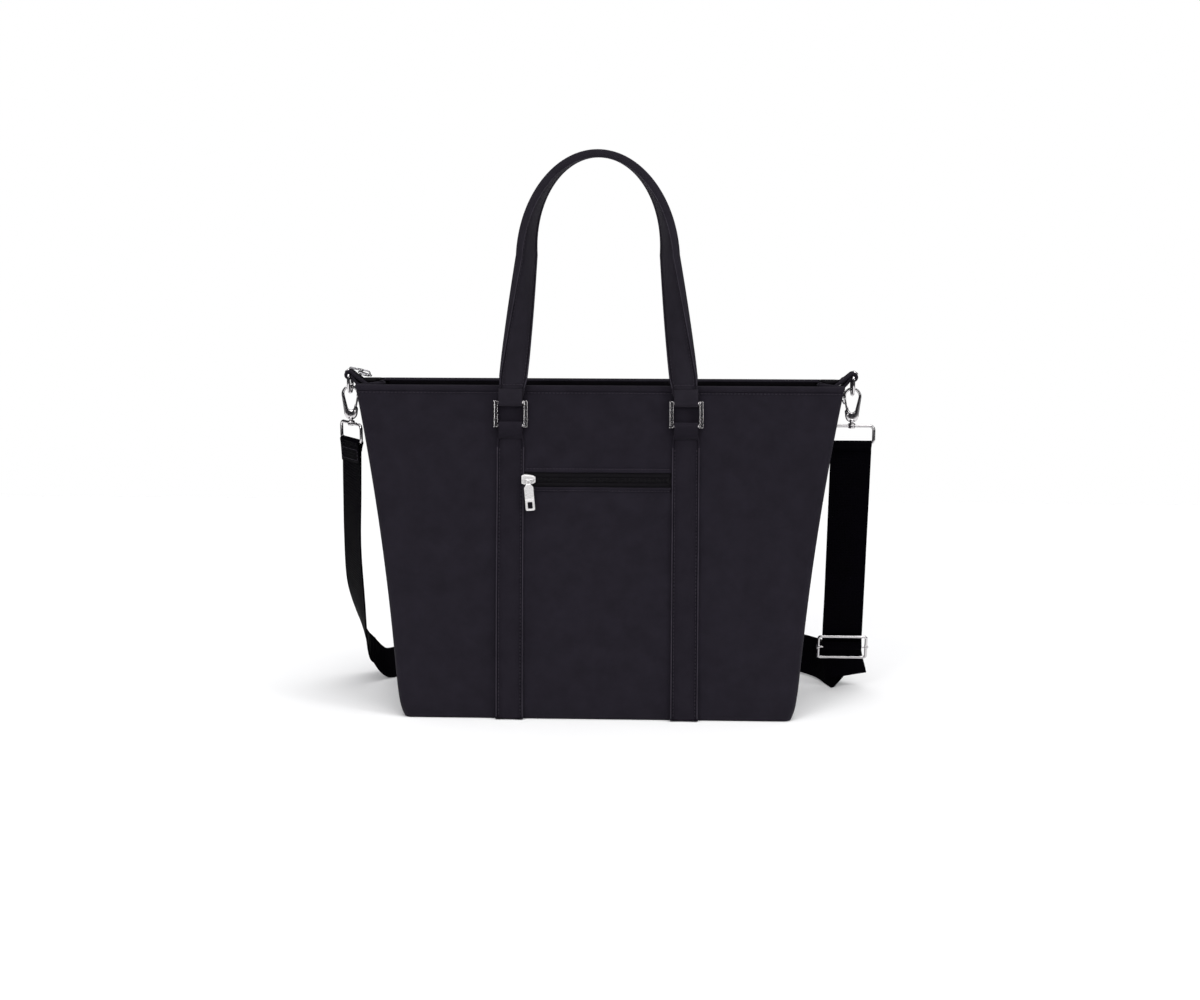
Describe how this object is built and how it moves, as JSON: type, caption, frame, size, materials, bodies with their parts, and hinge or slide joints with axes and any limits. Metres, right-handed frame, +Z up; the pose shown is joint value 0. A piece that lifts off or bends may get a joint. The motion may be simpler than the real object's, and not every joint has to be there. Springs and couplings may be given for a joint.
{
  "type": "diaper bag",
  "caption": "Tapered black fabric tote with two ring-mounted handles, zip mouth, zip front pocket and a clip-on adjustable shoulder strap.",
  "frame": {"origin": "centre of the base, on the surface the bag stands on", "axes": "+X right, +Y to the back, +Z up; the front pocket faces -Y"},
  "size_m": [0.5132, 0.2584, 0.5211],
  "materials": {
    "shell_cloth": "matt microfibre, near black",
    "band_cloth": "matt microfibre with stitched edges",
    "handle_cloth": "matt microfibre, padded, edge stitched",
    "lining_cloth": "smooth woven lining",
    "board": "stiff sheet",
    "zip_tape": "woven zip tape",
    "coil": "nylon zip coil",
    "webbing": "ribbed polyester webbing",
    "nickel": "polished nickel plate"
  },
  "bodies": {
    "bag": {"front_panel": "shell_cloth", "back_panel": "shell_cloth", "side_gusset_left": "shell_cloth", "side_gusset_right": "shell_cloth", "base_panel": "shell_cloth", "base_board": "board", "lining": "lining_cloth", "rim_binding": "band_cloth", "band_front_left": "band_cloth", "band_front_right": "band_cloth", "band_rear_left": "band_cloth", "band_rear_right": "band_cloth", "pocket_zip_tape": "zip_tape", "pocket_zip_teeth": "coil", "pocket_zip_welts": "band_cloth", "pocket_bag": "lining_cloth", "inner_slip_pocket": "lining_cloth", "inner_bottle_pocket_left": "lining_cloth", "inner_bottle_pocket_right": "lining_cloth", "side_tab_left": "band_cloth", "side_tab_right": "band_cloth", "tab_rivets": "nickel", "zip_tail_left": "zip_tape", "zip_tail_right": "zip_tape"},
    "top_flap_front": {"zip_panel_front": "lining_cloth", "top_zip_tape_front": "zip_tape", "top_zip_teeth_front": "nickel"},
    "top_flap_rear": {"zip_panel_rear": "lining_cloth", "top_zip_tape_rear": "zip_tape", "top_zip_teeth_rear": "nickel"},
    "top_slider": {"top_zip_slider": "nickel"},
    "top_pull": {"top_zip_pull": "nickel"},
    "pocket_slider": {"pocket_zip_slider": "nickel"},
    "pocket_pull": {"pocket_zip_pull": "nickel"},
    "front_rings": {"ring_front_left": "nickel", "ring_front_right": "nickel"},
    "front_handle": {"handle_front": "handle_cloth"},
    "rear_rings": {"ring_rear_left": "nickel", "ring_rear_right": "nickel"},
    "rear_handle": {"handle_rear": "handle_cloth"},
    "side_ring_left": {"d_ring_left": "nickel"},
    "side_ring_right": {"d_ring_right": "nickel"},
    "shoulder_strap": {"hook_eye_left": "nickel", "hook_eye_right": "nickel", "strap_left": "webbing", "strap_floor": "webbing", "strap_right": "webbing", "strap_tail": "webbing"},
    "hook_left": {"hook_body_left": "nickel"},
    "hook_right": {"hook_body_right": "nickel"},
    "gate_left": {"hook_gate_left": "nickel"},
    "gate_right": {"hook_gate_right": "nickel"},
    "strap_adjuster": {"strap_slider_frame": "nickel", "strap_slider_bar": "nickel", "strap_end_loop": "webbing"}
  },
  "joints": [
    {"name": "front_ring_hinge", "type": "hinge", "parent": "bag", "child": "front_rings", "pos_m": [0, -0.04037, 0.27082], "axis": [1, 0, 0], "range_deg": [0, 90]},
    {"name": "front_handle_hinge", "type": "hinge", "parent": "front_rings", "child": "front_handle", "pos_m": [0, -0.03742, 0.29161], "axis": [1, 0, 0], "range_deg": [-6, 80]},
    {"name": "rear_ring_hinge", "type": "hinge", "parent": "bag", "child": "rear_rings", "pos_m": [0, 0.04037, 0.27082], "axis": [1, 0, 0], "range_deg": [0, 90]},
    {"name": "rear_handle_hinge", "type": "hinge", "parent": "rear_rings", "child": "rear_handle", "pos_m": [0, 0.04618, 0.25064], "axis": [1, 0, 0], "range_deg": [0, 80]},
    {"name": "top_flap_front_hinge", "type": "hinge", "parent": "bag", "child": "top_flap_front", "pos_m": [0, -0.0245, 0.3045], "axis": [1, 0, 0], "range_deg": [0, 102]},
    {"name": "top_flap_rear_hinge", "type": "hinge", "parent": "bag", "child": "top_flap_rear", "pos_m": [0, 0.0245, 0.3045], "axis": [-1, 0, 0], "range_deg": [0, 102]},
    {"name": "top_zip_slide", "type": "slide", "parent": "bag", "child": "top_slider", "axis": [1, 0, 0], "range_m": [0, 0.43]},
    {"name": "top_pull_hinge", "type": "hinge", "parent": "top_slider", "child": "top_pull", "pos_m": [-0.222, 0, 0.31676], "axis": [0, 1, 0], "range_deg": [0, 130]},
    {"name": "pocket_zip_slide", "type": "slide", "parent": "bag", "child": "pocket_slider", "axis": [1, 0, 0], "range_m": [0, 0.124]},
    {"name": "pocket_pull_swing", "type": "hinge", "parent": "pocket_slider", "child": "pocket_pull", "pos_m": [-0.064, -0.0511, 0.21861], "axis": [0, 0.9901, -0.1403], "range_deg": [-75, 75]},
    {"name": "side_ring_left_hinge", "type": "hinge", "parent": "bag", "child": "side_ring_left", "pos_m": [-0.236, 0, 0.313], "axis": [0, 1, 0], "range_deg": [-6, 6]},
    {"name": "side_ring_right_hinge", "type": "hinge", "parent": "bag", "child": "side_ring_right", "pos_m": [0.236, 0, 0.313], "axis": [0, 1, 0], "range_deg": [-6, 6]},
    {"name": "strap_swing", "type": "hinge", "parent": "bag", "child": "shoulder_strap", "pos_m": [0, 0, 0.3016], "axis": [1, 0, 0], "range_deg": [0, 50]},
    {"name": "hook_left_swivel", "type": "hinge", "parent": "shoulder_strap", "child": "hook_left", "pos_m": [-0.236, 0, 0.2699], "axis": [0, 0, 1], "range_deg": [-25, 25]},
    {"name": "hook_right_swivel", "type": "hinge", "parent": "shoulder_strap", "child": "hook_right", "pos_m": [0.236, 0, 0.2699], "axis": [0, 0, 1], "range_deg": [-25, 25]},
    {"name": "gate_left_spring", "type": "hinge", "parent": "hook_left", "child": "gate_left", "pos_m": [-0.2308, 0, 0.2779], "axis": [0, -1, 0], "range_deg": [0, 20], "stiffness_Nm_per_rad": 0.01, "springref_deg": -11.46},
    {"name": "gate_right_spring", "type": "hinge", "parent": "hook_right", "child": "gate_right", "pos_m": [0.2308, 0, 0.2779], "axis": [0, 1, 0], "range_deg": [0, 20], "stiffness_Nm_per_rad": 0.01, "springref_deg": -11.46},
    {"name": "strap_adjust", "type": "slide", "parent": "shoulder_strap", "child": "strap_adjuster", "axis": [0.0023, -0.2162, 0.9763], "range_m": [0, 0.12], "deforming": ["strap_tail"]}
  ],
  "couplings": [
    {"joint": "top_flap_rear_hinge", "follows": "top_flap_front_hinge", "ratio": 1},
    {"joint": "top_zip_slide", "follows": "top_flap_front_hinge", "m_per_rad": 0.24153}
  ]
}
